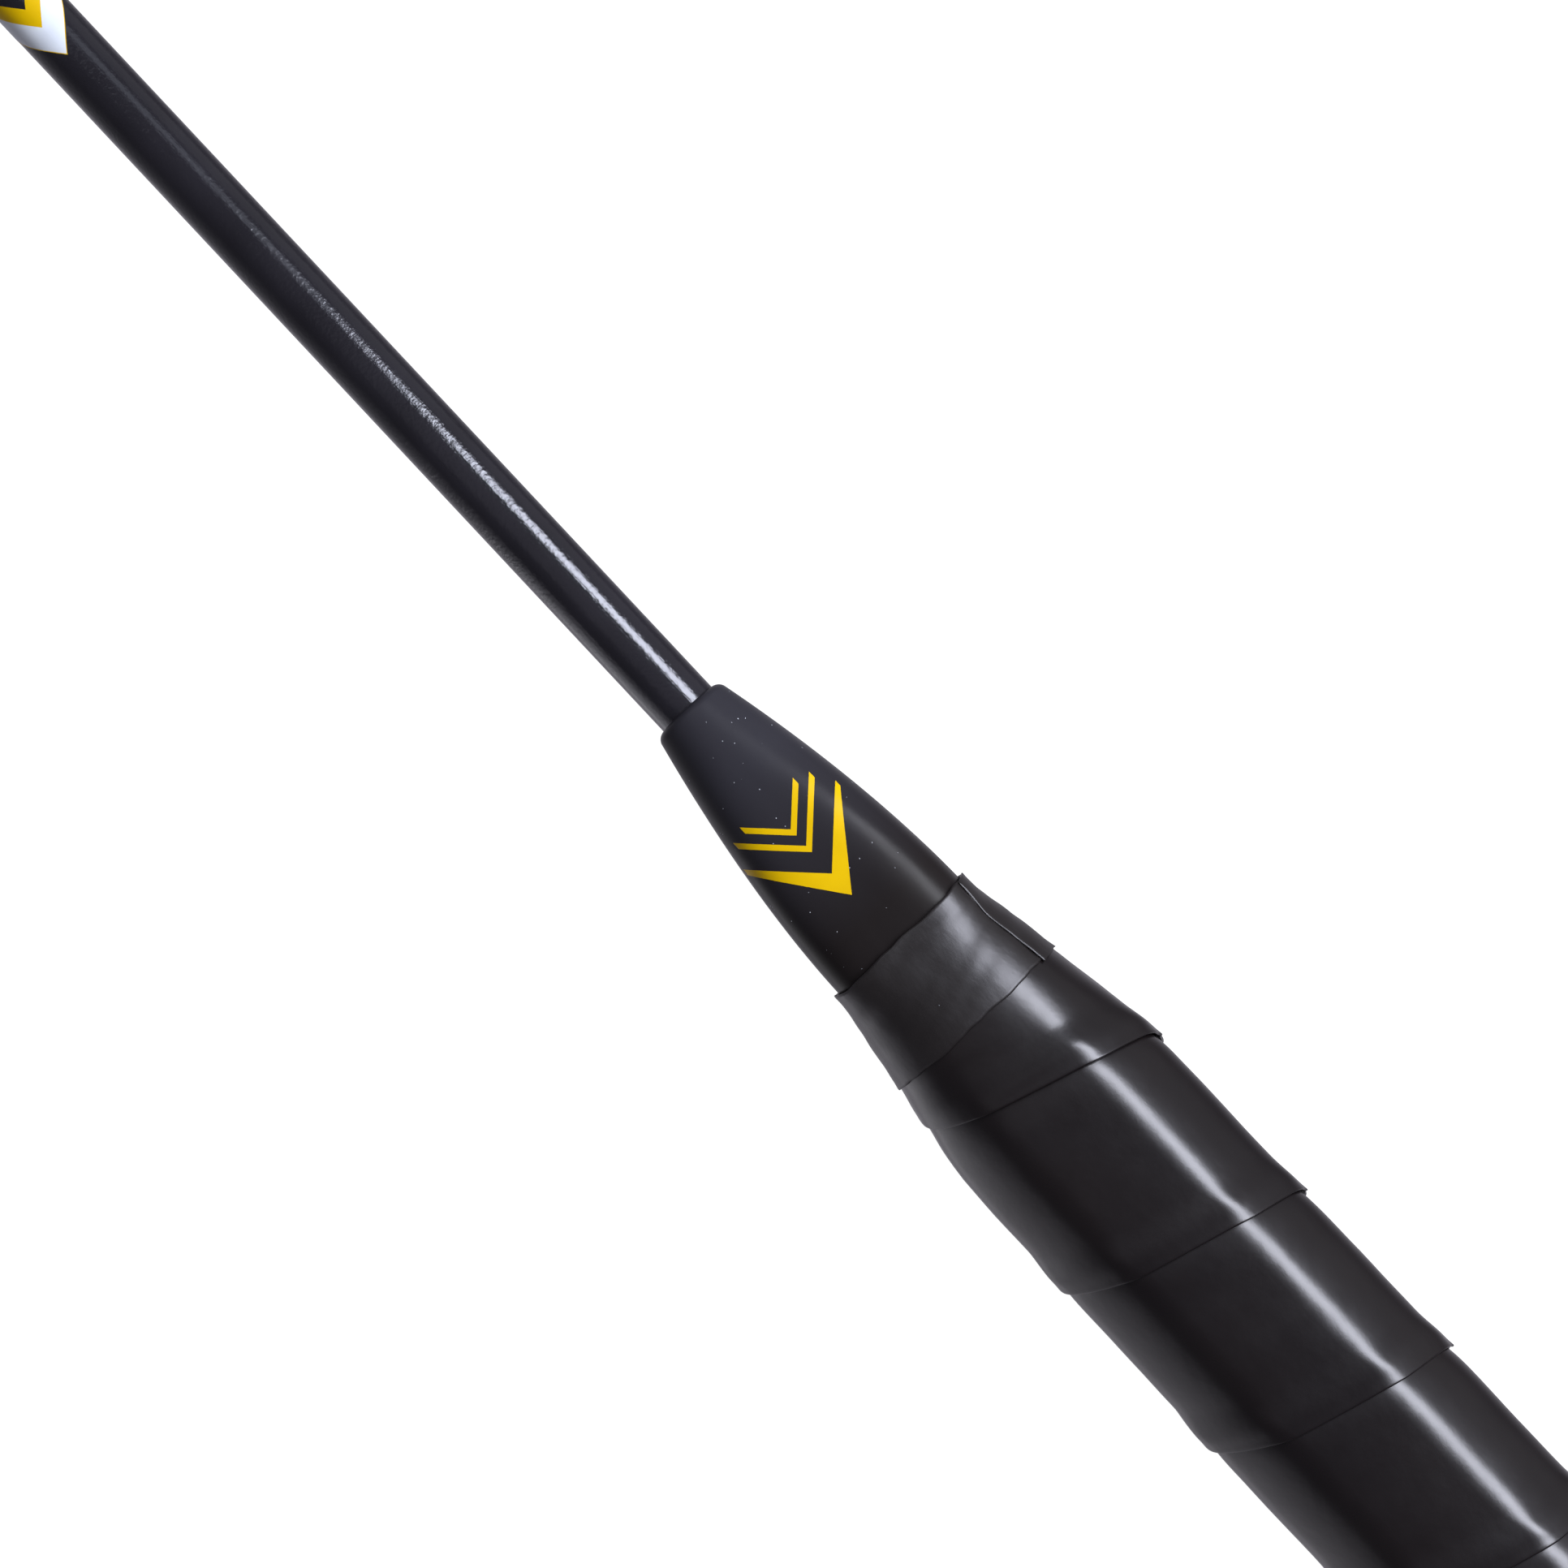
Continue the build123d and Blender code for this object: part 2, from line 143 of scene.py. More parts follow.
def new_material(name, base, roughness, specular=0.5, metallic=0.0):
    """A Principled material with its even values set on the shader's own sockets."""
    material = bpy.data.materials.new(name)
    material.use_nodes = True
    tree = material.node_tree
    shader = tree.nodes["Principled BSDF"]
    shader.inputs["Base Color"].default_value = (*base, 1.0)
    shader.inputs["Roughness"].default_value = roughness
    shader.inputs["Specular IOR Level"].default_value = specular
    shader.inputs["Metallic"].default_value = metallic
    return material, tree, shader


def grain(tree, size, stretch=(1.0, 1.0, 1.0), detail=2.0):
    """Noise in the object's own space, with features of about size metres before stretching."""
    coordinates = tree.nodes.new("ShaderNodeTexCoord")
    mapping = tree.nodes.new("ShaderNodeMapping")
    mapping.inputs["Scale"].default_value = [1.0 / axis for axis in stretch]
    texture = tree.nodes.new("ShaderNodeTexNoise")
    texture.inputs["Scale"].default_value = 1.0 / size
    texture.inputs["Detail"].default_value = detail
    tree.links.new(coordinates.outputs["Object"], mapping.inputs["Vector"])
    tree.links.new(mapping.outputs["Vector"], texture.inputs["Vector"])
    return texture.outputs["Fac"]


def ramp(tree, value, low, high, low_color, high_color):
    """Colours by a value between two limits."""
    band = tree.nodes.new("ShaderNodeValToRGB")
    band.color_ramp.elements[0].position = low
    band.color_ramp.elements[1].position = high
    band.color_ramp.elements[0].color = (*low_color, 1.0)
    band.color_ramp.elements[1].color = (*high_color, 1.0)
    tree.links.new(value, band.inputs["Fac"])
    return band.outputs["Color"]


def spread(tree, value, low, high):
    """The value moved from 0..1 to low..high."""
    mapping = tree.nodes.new("ShaderNodeMapRange")
    mapping.inputs["To Min"].default_value = low
    mapping.inputs["To Max"].default_value = high
    tree.links.new(value, mapping.inputs["Value"])
    return mapping.outputs["Result"]


def add_bumps(tree, shader, layers):
    """Stack bumps on the shader; each layer is a height socket and its depth in metres."""
    normal = None
    for height, depth in layers:
        bump = tree.nodes.new("ShaderNodeBump")
        bump.inputs["Strength"].default_value = 1.0
        bump.inputs["Distance"].default_value = depth
        tree.links.new(height, bump.inputs["Height"])
        if normal is not None:
            tree.links.new(normal, bump.inputs["Normal"])
        normal = bump.outputs["Normal"]
    tree.links.new(normal, shader.inputs["Normal"])


bare_cells = 0.72  # share of the dust's cells that hold no speck


def dust(tree, color, spacing, dot, stretch=(1.0, 1.0, 1.0), speck=(0.26, 0.28, 0.32)):
    """The colour with sparse pale specks, dot metres in radius, in cells about spacing metres across."""
    coordinates = tree.nodes.new("ShaderNodeTexCoord")
    mapping = tree.nodes.new("ShaderNodeMapping")
    mapping.inputs["Scale"].default_value = [1.0 / axis for axis in stretch]
    cells = tree.nodes.new("ShaderNodeTexVoronoi")
    cells.inputs["Scale"].default_value = 1.0 / spacing
    near = tree.nodes.new("ShaderNodeMath")
    near.operation = "LESS_THAN"
    near.inputs[1].default_value = dot / spacing
    split = tree.nodes.new("ShaderNodeSeparateColor")
    rare = tree.nodes.new("ShaderNodeMath")
    rare.operation = "GREATER_THAN"
    rare.inputs[1].default_value = bare_cells
    both = tree.nodes.new("ShaderNodeMath")
    both.operation = "MULTIPLY"
    mix = tree.nodes.new("ShaderNodeMixRGB")
    mix.inputs["Color2"].default_value = (*speck, 1.0)
    tree.links.new(coordinates.outputs["Object"], mapping.inputs["Vector"])
    tree.links.new(mapping.outputs["Vector"], cells.inputs["Vector"])
    tree.links.new(cells.outputs["Distance"], near.inputs[0])
    tree.links.new(cells.outputs["Color"], split.inputs["Color"])
    tree.links.new(split.outputs["Red"], rare.inputs[0])
    tree.links.new(near.outputs["Value"], both.inputs[0])
    tree.links.new(rare.outputs["Value"], both.inputs[1])
    tree.links.new(both.outputs["Value"], mix.inputs["Fac"])
    tree.links.new(color, mix.inputs["Color1"])
    return mix.outputs["Color"]


def lacquer(name, base, roughness, streak_depth, peel_depth):
    """Gloss lacquer over carbon: orange peel, fine lengthwise streaks and a few dust specks."""
    material, tree, shader = new_material(name, base, roughness)
    shader.inputs["Specular Tint"].default_value = (0.89, 0.91, 1.0, 1.0)
    streaks = grain(tree, 0.16 * mm, stretch=(1.0, 60.0, 1.0))
    peel = grain(tree, 0.45 * mm, detail=3.0)
    speck = grain(tree, 0.10 * mm, detail=1.0)
    add_bumps(tree, shader, [(streaks, streak_depth), (peel, peel_depth), (speck, 0.0012 * mm)])
    patches = grain(tree, 2.5 * mm, stretch=(1.0, 5.0, 1.0), detail=4.0)
    tree.links.new(spread(tree, patches, roughness * 0.7, roughness * 1.35), shader.inputs["Roughness"])
    tint = ramp(tree, grain(tree, 9 * mm), 0.35, 0.7, base, [channel * 1.3 for channel in base])
    specked = dust(tree, tint, 1.6 * mm, 0.07 * mm, stretch=(1.0, 5.0, 1.0))
    tree.links.new(specked, shader.inputs["Base Color"])
    return material


pale_full = 9 * mm  # how far from the cone's mouth its lighter, bluer base colour starts to fade out
pale_end = 30 * mm


def cone_plastic():
    """Moulded gloss plastic: slight waves, orange peel, and a base colour that is lighter and bluer at the
    mouth and fades to the plain colour towards the base.
    """
    base = (0.0086, 0.0070, 0.0072)
    material, tree, shader = new_material("cone_gloss", base, 0.33, specular=0.10)
    waves = grain(tree, 3.5 * mm, stretch=(1.0, 1.6, 1.0), detail=3.0)
    peel = grain(tree, 0.45 * mm, detail=3.0)
    add_bumps(tree, shader, [(waves, 0.035 * mm), (peel, 0.0024 * mm)])
    patches = grain(tree, 2.5 * mm, stretch=(1.0, 3.0, 1.0), detail=4.0)
    tree.links.new(spread(tree, patches, 0.24, 0.44), shader.inputs["Roughness"])
    coordinates = tree.nodes.new("ShaderNodeTexCoord")
    split = tree.nodes.new("ShaderNodeSeparateXYZ")
    pale_share = tree.nodes.new("ShaderNodeMapRange")
    pale_share.inputs["From Min"].default_value = mouth_y - pale_end
    pale_share.inputs["From Max"].default_value = mouth_y - pale_full
    tree.links.new(coordinates.outputs["Object"], split.inputs["Vector"])
    tree.links.new(split.outputs["Y"], pale_share.inputs["Value"])
    # The base colour is lighter and bluer near the mouth and fades to the plain colour further down the
    # cone.
    paled_base = ramp(tree, pale_share.outputs["Result"], 0.0, 1.0, base, (0.0205, 0.0200, 0.0255))
    specked = dust(tree, paled_base, 0.7 * mm, 0.05 * mm, speck=(0.46, 0.49, 0.55))
    tree.links.new(specked, shader.inputs["Base Color"])
    return material


def wrap_leather():
    """Satin polyurethane: soft pores, gentle waviness and dull patches."""
    base = (0.0028, 0.0018, 0.0021)
    material, tree, shader = new_material("grip_polyurethane", base, 0.3, specular=0.48)
    shader.inputs["Specular Tint"].default_value = (0.95, 0.95, 1.0, 1.0)
    pores = grain(tree, 0.11 * mm, detail=3.0)
    waves = grain(tree, 2.2 * mm, detail=3.0)
    add_bumps(tree, shader, [(waves, 0.035 * mm), (pores, 0.0028 * mm)])
    patches = grain(tree, 6 * mm, detail=5.0)
    tree.links.new(spread(tree, patches, 0.25, 0.36), shader.inputs["Roughness"])
    tint = ramp(tree, grain(tree, 14 * mm, detail=4.0), 0.35, 0.7, base, (0.0042, 0.0029, 0.0030))
    tree.links.new(tint, shader.inputs["Base Color"])
    return material


def tape_vinyl():
    """Satin vinyl tape: drawn wrinkles and a fine matt grain."""
    base = (0.0052, 0.0038, 0.0036)
    material, tree, shader = new_material("tape_vinyl", base, 0.4)
    shader.inputs["Specular Tint"].default_value = (0.94, 0.94, 1.0, 1.0)
    matt = grain(tree, 0.09 * mm, detail=3.0)
    wrinkles = grain(tree, 1.6 * mm, stretch=(1.0, 2.0, 1.0), detail=3.0)
    add_bumps(tree, shader, [(wrinkles, 0.05 * mm), (matt, 0.004 * mm)])
    patches = grain(tree, 3 * mm, detail=4.0)
    tree.links.new(spread(tree, patches, 0.34, 0.48), shader.inputs["Roughness"])
    tint = ramp(tree, grain(tree, 5 * mm, detail=3.0), 0.3, 0.7, base, (0.0072, 0.0058, 0.0056))
    tree.links.new(dust(tree, tint, 1.5 * mm, 0.05 * mm), shader.inputs["Base Color"])
    return material


def ink(name, base, shade):
    """Screen-printed ink under lacquer, a little uneven in depth."""
    material, tree, shader = new_material(name, base, 0.4, specular=0.1)
    tint = ramp(tree, grain(tree, 4 * mm, detail=3.0), 0.3, 0.7, base, shade)
    tree.links.new(tint, shader.inputs["Base Color"])
    add_bumps(tree, shader, [(grain(tree, 0.3 * mm), 0.002 * mm)])
    return material


def nylon_string():
    """Pale multifilament nylon with a fine twist."""
    base = (0.80, 0.80, 0.76)
    material, tree, shader = new_material("string_nylon", base, 0.32)
    shader.inputs["Subsurface Weight"].default_value = 0.05
    shader.inputs["Subsurface Scale"].default_value = 0.4 * mm
    tint = ramp(tree, grain(tree, 1.5 * mm), 0.35, 0.65, base, (0.72, 0.72, 0.66))
    tree.links.new(tint, shader.inputs["Base Color"])
    add_bumps(tree, shader, [(grain(tree, 0.12 * mm, stretch=(1.0, 2.0, 1.0)), 0.006 * mm)])
    return material


def moulded_plastic(name, base, roughness):
    """Moulded plastic with a fine spark-eroded grain."""
    material, tree, shader = new_material(name, base, roughness)
    add_bumps(tree, shader, [(grain(tree, 0.14 * mm, detail=3.0), 0.006 * mm)])
    patches = grain(tree, 5 * mm, detail=3.0)
    tree.links.new(spread(tree, patches, roughness * 0.85, roughness * 1.15), shader.inputs["Roughness"])
    return material


def handle_wood():
    """Pale wood with lengthwise grain."""
    base = (0.55, 0.38, 0.22)
    material, tree, shader = new_material("handle_wood", base, 0.6)
    fibres = grain(tree, 0.5 * mm, stretch=(1.0, 40.0, 1.0), detail=5.0)
    tree.links.new(ramp(tree, fibres, 0.3, 0.7, base, (0.40, 0.25, 0.13)), shader.inputs["Base Color"])
    add_bumps(tree, shader, [(fibres, 0.05 * mm)])
    return material


def adhesive_film():
    """Pale tacky film."""
    material, tree, shader = new_material("adhesive_film", (0.72, 0.71, 0.66), 0.45)
    add_bumps(tree, shader, [(grain(tree, 0.6 * mm, detail=3.0), 0.02 * mm)])
    return material


def staple_steel():
    """Drawn zinc-plated wire."""
    material, tree, shader = new_material("staple_steel", (0.62, 0.62, 0.64), 0.3, metallic=1.0)
    add_bumps(tree, shader, [(grain(tree, 0.08 * mm, stretch=(1.0, 12.0, 1.0)), 0.003 * mm)])
    return material


badge_face_radius = 10 * mm  # where the badge's colour bands end
ring_inner = 0.58  # the ring's edges, as shares of that radius
ring_outer = 0.70
badge_black = (0.012, 0.012, 0.014, 1.0)


def badge_face():
    """A blank badge: one plain ring about its centre, no mark."""
    material, tree, shader = new_material("badge_face", (0.70, 0.52, 0.02), 0.3)
    coordinates = tree.nodes.new("ShaderNodeTexCoord")
    flatten = tree.nodes.new("ShaderNodeMapping")
    flatten.inputs["Scale"].default_value = (1.0, 0.0, 1.0)
    radius = tree.nodes.new("ShaderNodeVectorMath")
    radius.operation = "LENGTH"
    tree.links.new(coordinates.outputs["Object"], flatten.inputs["Vector"])
    tree.links.new(flatten.outputs["Vector"], radius.inputs[0])
    share = tree.nodes.new("ShaderNodeMath")
    share.operation = "MULTIPLY"
    share.inputs[1].default_value = 1.0 / badge_face_radius
    tree.links.new(radius.outputs["Value"], share.inputs[0])
    bands = tree.nodes.new("ShaderNodeValToRGB")
    bands.color_ramp.interpolation = "CONSTANT"
    bands.color_ramp.elements[0].position = 0.0
    bands.color_ramp.elements[0].color = badge_black
    bands.color_ramp.elements[1].position = ring_inner
    bands.color_ramp.elements[1].color = (0.75, 0.55, 0.02, 1.0)
    rim = bands.color_ramp.elements.new(ring_outer)
    rim.color = badge_black
    tree.links.new(share.outputs["Value"], bands.inputs["Fac"])
    tree.links.new(bands.outputs["Color"], shader.inputs["Base Color"])
    add_bumps(tree, shader, [(grain(tree, 0.2 * mm), 0.003 * mm)])
    return material


shaft_lacquer = lacquer("shaft_lacquer", (0.0080, 0.0075, 0.0100), 0.15, 0.010 * mm, 0.034 * mm)
hoop_lacquer = lacquer("hoop_lacquer", (0.008, 0.008, 0.0095), 0.21, 0.0015 * mm, 0.0022 * mm)
cone_gloss = cone_plastic()
grip_polyurethane = wrap_leather()
tape_black = tape_vinyl()
string_pale = nylon_string()
ink_yellow = ink("ink_yellow", (0.52, 0.335, 0.0003), (0.48, 0.305, 0.0003))
ink_white = ink("ink_white", (0.55, 0.59, 0.65), (0.50, 0.54, 0.61))
butt_plastic = moulded_plastic("butt_plastic", (0.014, 0.014, 0.015), 0.4)
grommet_nylon = moulded_plastic("grommet_nylon", (0.016, 0.016, 0.017), 0.45)

# ---- shaft ------------------------------------------------------------------------------------------------


def turned_piece(name, outline, material, sides=128):
    """A piece turned about the racket's axis; outline rows are (y, radius) and the ends are closed."""
    points = []
    for y, radius in outline:
        for side in range(sides):
            angle = 2 * pi * side / sides
            points.append((radius * sin(angle), y, radius * cos(angle)))
    faces = tube_faces(len(outline), sides)
    faces.append(tuple(range(sides)))
    last = (len(outline) - 1) * sides
    faces.append(tuple(last + side for side in reversed(range(sides))))
    return mesh_piece(name, points, faces, material)


def add_shaft():
    """The bare tube, in short rings so that its highlight stays straight."""
    rings = 60
    step = (shaft_high.y - shaft_low.y) / rings
    outline = [(shaft_low.y + step * ring, shaft_radius) for ring in range(rings + 1)]
    shaft = turned_piece("shaft_tube", outline, shaft_lacquer)
    place(shaft, "shaft", slot="shaft_gloss")


# ---- cone -------------------------------------------------------------------------------------------------

cone_length = 34.0 * mm
cone_mouth_width = 9.0 * mm
cone_full_width = 18.05 * mm
cone_swell = 1.75
mouth_squareness = 2.0  # a circle
base_squareness_gain = 1.7
squareness_haste = 1.15
cone_lip = 0.9 * mm
cone_base_flatness = 0.94
cone_sides = 256
lip_steps = 12
body_steps = 90
bore_gap = 0.08 * mm  # between the cone's bore and the shaft
bore_depths = (3.0 * mm, 1.2 * mm, 0.5 * mm)  # rings of the bore, below the mouth


def cone_size(y):
    """Half width, half height and squareness of the cone's section at y."""
    share = np.clip((mouth_y - y) / cone_length, 0, 1)
    width = cone_full_width - (cone_full_width - cone_mouth_width) * (1 - share) ** cone_swell
    flatness = 1 - (1 - cone_base_flatness) * share
    squareness = mouth_squareness + base_squareness_gain * ease(share * squareness_haste)
    return width / 2, width / 2 * flatness, squareness


def cone_top(x, y):
    """Height of the cone's upper side at x, y."""
    half_width, half_height, squareness = cone_size(y)
    share = np.clip(np.abs(x / half_width), 0, 0.999)
    return half_height * (1 - share**squareness) ** (1 / squareness)


def cone_ring(y, inset):
    """A ring of points round the cone, moved inwards by inset."""
    half_width, half_height, squareness = cone_size(y)
    angles = 2 * pi * np.arange(cone_sides) / cone_sides
    across = np.sign(np.sin(angles)) * np.abs(np.sin(angles)) ** (2 / squareness) * (half_width - inset)
    height = np.sign(np.cos(angles)) * np.abs(np.cos(angles)) ** (2 / squareness) * (half_height - inset)
    return [(float(a), float(y), float(h)) for a, h in zip(across, height)]


def add_cone():
    """The cone with its rounded lip; a short bore closes it round the shaft."""
    points = []
    bore = shaft_radius + bore_gap
    angles = 2 * pi * np.arange(cone_sides) / cone_sides
    for depth in bore_depths:
        points += [(float(bore * sin(a)), mouth_y - depth, float(bore * cos(a))) for a in angles]
    for step in range(lip_steps + 1):
        angle = pi / 2 * step / lip_steps
        points += cone_ring(mouth_y - cone_lip * (1 - cos(angle)), cone_lip * (1 - sin(angle)))
    for step in range(1, body_steps + 1):
        y = mouth_y - cone_lip - (mouth_y - cone_lip - cone_low.y) * step / body_steps
        points += cone_ring(y, 0.0)
    rings = len(points) // cone_sides
    faces = [face[::-1] for face in tube_faces(rings, cone_sides)]
    cone = mesh_piece("cone_shell", points, faces, cone_gloss)
    place(cone, "cone_cap", slot="cone_gloss")


# ---- octagonal handle -------------------------------------------------------------------------------------

side_steps = 12  # columns on each flat
corner_steps = 8  # columns round each corner
bevel_share = 0.2423  # leg of a bevel over the octagon's width
grip_width = 26.0 * mm
grip_flatness = 0.9
corner_radius = 5.9 * mm
half_turn = radians(22.5)
flat_turn = radians(3.0)  # how far a flat's surface turns from its middle to its end
bevel_turn = radians(10.0)

# Towards the cone the octagon eases into the cone's rounded section
neck_y = 148 * mm  # where that starts
neck_flatness_reach = 17 * mm
neck_rounding_reach = 11 * mm
neck_squareness = 2.5
cone_squareness_gain = 1.2
cone_squareness_y = 166 * mm
cone_squareness_reach = 5 * mm

# Outside of the wrap along the handle: y, width
wrap_profile = [
    (4.5 * mm, 30.4 * mm),
    (10.0 * mm, 29.2 * mm),
    (17.5 * mm, 27.9 * mm),
    (26.0 * mm, 26.7 * mm),
    (35.0 * mm, grip_width),
    (142.0 * mm, grip_width),
    (147.0 * mm, 25.7 * mm),
    (151.0 * mm, 24.9 * mm),
    (155.0 * mm, 23.6 * mm),
    (159.5 * mm, 22.3 * mm),
    (165.0 * mm, 20.4 * mm),
    (169.0 * mm, 19.0 * mm),
    (173.0 * mm, 18.2 * mm),
]


def monotone(profile, y):
    """A smooth curve through the profile's points that never overshoots them."""
    xs = np.array([row[0] for row in profile])
    values = np.array([row[1] for row in profile])
    gaps = np.diff(xs)
    slopes = np.diff(values) / gaps
    tangents = np.zeros_like(values)
    for index in range(1, len(values) - 1):
        before, after = slopes[index - 1], slopes[index]
        if before * after > 0:
            tangents[index] = 2 * before * after / (before + after)
    tangents[0], tangents[-1] = slopes[0], slopes[-1]
    y = np.clip(y, xs[0], xs[-1])
    cell = np.clip(np.searchsorted(xs, y) - 1, 0, len(gaps) - 1)
    share = (y - xs[cell]) / gaps[cell]
    square, cube = share**2, share**3
    gap = gaps[cell]
    low = values[cell] * (2 * cube - 3 * square + 1) + tangents[cell] * gap * (cube - 2 * square + share)
    high = values[cell + 1] * (3 * square - 2 * cube) + tangents[cell + 1] * gap * (cube - square)
    return low + high


def octagon_columns():
    """Columns round the octagon from the top's middle towards +X: (side, share along it, is a corner)."""
    columns = [(0, 0.5 + 0.5 * step / (side_steps // 2), False) for step in range(side_steps // 2)]
    for side in range(8):
        columns += [(side, step / corner_steps, True) for step in range(corner_steps)]
        following = (side + 1) % 8
        steps = side_steps if following else side_steps // 2
        columns += [(following, step / side_steps, False) for step in range(steps)]
    return columns


def side_turn(side):
    """How far a side of the octagon bows out, as the turn of its surface at either end."""
    return bevel_turn if side % 2 else flat_turn


def octagon_place(column, width, flatness, corner):
    """Points and outward normals of one column on octagons of the given widths."""
    side, share, is_corner = column
    height = width * flatness
    bevel = width * bevel_share
    corners = []
    for sign_x, sign_z, first in ((1, 1, "z"), (1, -1, "x"), (-1, -1, "z"), (-1, 1, "x")):
        near_z = (sign_x * (width / 2 - bevel), sign_z * height / 2)
        near_x = (sign_x * width / 2, sign_z * (height / 2 - bevel))
        corners += [near_z, near_x] if first == "z" else [near_x, near_z]
    angle = side * pi / 4
    tangent = (cos(angle), -sin(angle))
    start = corners[(side - 1) % 8]
    end = corners[side]
    trim = corner * tan(half_turn)
    before_x = start[0] + tangent[0] * trim - sin(angle) * corner
    before_z = start[1] + tangent[1] * trim - cos(angle) * corner
    after_x = end[0] - tangent[0] * trim - sin(angle) * corner
    after_z = end[1] - tangent[1] * trim - cos(angle) * corner
    turn = side_turn(side)
    if is_corner:
        turned = angle + turn + share * (pi / 4 - turn - side_turn(side + 1))
        return after_x + sin(turned) * corner, after_z + cos(turned) * corner, sin(turned), cos(turned)
    chord = np.hypot(after_x - before_x, after_z - before_z) + 2 * corner * sin(turn)
    full = tan(turn) * chord / 4 * (1 - (2 * share - 1) ** 2)
    reach = chord * (share - 0.5)
    rise = corner * cos(turn) + full
    x = (before_x + after_x) / 2 + tangent[0] * reach + sin(angle) * rise
    z = (before_z + after_z) / 2 + tangent[1] * reach + cos(angle) * rise
    turned = angle + turn * (2 * share - 1)
    return x, z, sin(turned), cos(turned)


columns = octagon_columns()
column_count = len(columns)


def column_shares():
    """Each column's share of the way round the grip's octagon."""
    rows = [octagon_place(column, grip_width, grip_flatness, corner_radius)[:2] for column in columns]
    places = np.array(rows)
    steps = np.linalg.norm(np.roll(places, -1, axis=0) - places, axis=1)
    return np.concatenate([[0], np.cumsum(steps)[:-1]]) / steps.sum()


shares = column_shares()


def handle_flatness(y):
    """Height over width of the handle, easing to the cone's under the tape."""
    return grip_flatness + (cone_base_flatness - grip_flatness) * ease((y - neck_y) / neck_flatness_reach)


def handle_points(column_index, y, lift, tightness=0.0):
    """Points on the handle's outside at the given places along it, lifted outwards."""
    width = monotone(wrap_profile, y)
    corner = corner_radius - tightness * np.ones_like(y)
    x, z, normal_x, normal_z = octagon_place(columns[column_index], width, handle_flatness(y), corner)
    radius = np.hypot(x, z)
    half_width = width / 2
    half_height = half_width * handle_flatness(y)
    power = neck_squareness + cone_squareness_gain * ease((y - cone_squareness_y) / cone_squareness_reach)
    across = np.abs(x / radius / half_width) ** power
    upwards = np.abs(z / radius / half_height) ** power
    oval = (across + upwards) ** (-1 / power)
    scale = 1 + (oval / radius - 1) * ease((y - neck_y) / neck_rounding_reach)
    return np.stack([x * scale + normal_x * lift, y, z * scale + normal_z * lift], axis=-1)


# ---- wrap -------------------------------------------------------------------------------------------------

wrap_pitch = 22.95 * mm
first_edge_y = 149.9 * mm  # the first exposed edge, on the middle of the upper side
wrap_turns = 9
overlap = 5.6 * mm
under_reach = 2.6 * mm  # how far the strip's upper edge runs on under the turn above
under_sink = 0.35 * mm
dip_depth = 0.24 * mm  # the strip dips where it comes out from under the turn above
dip_fade = 1.5 * mm
step_height = 0.24 * mm  # rise over the overlap
step_reach = 4.2 * mm
crest_height = 0.03 * mm  # soft ridge before the exposed edge
crest_back = 2.2 * mm
crest_reach = 1.2 * mm
curl_height = 0.05 * mm  # curl of the edge itself
curl_reach = 0.7 * mm
edge_radius = 0.16 * mm
edge_start = 0.25 * mm  # how far before the pitch the edge's rounding starts
edge_thickness = 0.34 * mm
back_lift = -0.75 * mm  # the strip's hidden back, under the nominal surface
back_middle_lift = -1.1 * mm
visible_lift = -0.5 * mm  # rows above this belong to the strip's outside
edge_fade = 1.1 * mm
tight_corner = 2.4 * mm  # how much smaller the corners' radius gets before an edge
tight_back = 2.6 * mm
tight_reach = 2.4 * mm
wander_depth = 0.22 * mm
swell_share = 0.25
soft_depth = 0.035 * mm
lump_depth = 0.035 * mm  # lumps near the tape, from lump_y up
lump_y = 147 * mm
lump_reach = 5 * mm
lump_spacing = 2.1 * mm
tape_grip = 3 * mm  # how far below the tape the wrap is pressed flat
right_flap = (0.238, 0.008, 0.20 * mm)  # place and reach as shares of the way round, height
left_flap = (0.79, 0.03, 0.06 * mm)
cut_margin = 0.1 * mm  # between the wrap's cut ends and its CAD ends


def wrap_section():
    """The strip's section: (distance below the edge of the turn above, lift over the nominal surface)."""
    step_start = wrap_pitch - overlap
    edge = wrap_pitch - edge_start
    top = np.concatenate([
        np.linspace(-under_reach, -0.4 * mm, 4),
        np.linspace(0, 4.5 * mm, 14),
        np.linspace(5.5 * mm, step_start - 1.6 * mm, 7),
        np.linspace(step_start - 1.0 * mm, edge, 24),
    ])
    dip = -dip_depth * np.exp(-np.clip(top, 0, None) / dip_fade)
    hidden = -under_sink * ease(-top / under_reach)
    ramp_up = step_height * ease((top - step_start) / step_reach)
    crest = crest_height * bell(top, wrap_pitch - crest_back, crest_reach)
    curl = curl_height * np.exp((top - wrap_pitch) / curl_reach)
    rows = list(zip(top, dip + hidden + ramp_up + crest + curl))
    edge_top = rows[-1][1]
    for angle in (25, 50, 75, 100, 130):
        turn = radians(angle)
        out = edge + edge_radius * sin(turn) + edge_radius / 2
        rows.append((out, edge_top - edge_radius * (1 - cos(turn))))
    rows.append((wrap_pitch - 1.5 * mm, edge_top - edge_thickness))
    rows.append((step_start + 0.5 * mm, back_lift))
    rows.append((4.0 * mm, back_middle_lift))
    rows.append((-under_reach, back_lift))
    return rows


def wobble(run, seed):
    """The ripple at one place along a strip, as a plain number."""
    return ripple(np.array([run]), seed)[0]


def flap_height(share):
    """How far an edge stands off the handle at this share of the way round."""
    return sum(height * bell(share, middle, reach) for middle, reach, height in (right_flap, left_flap))


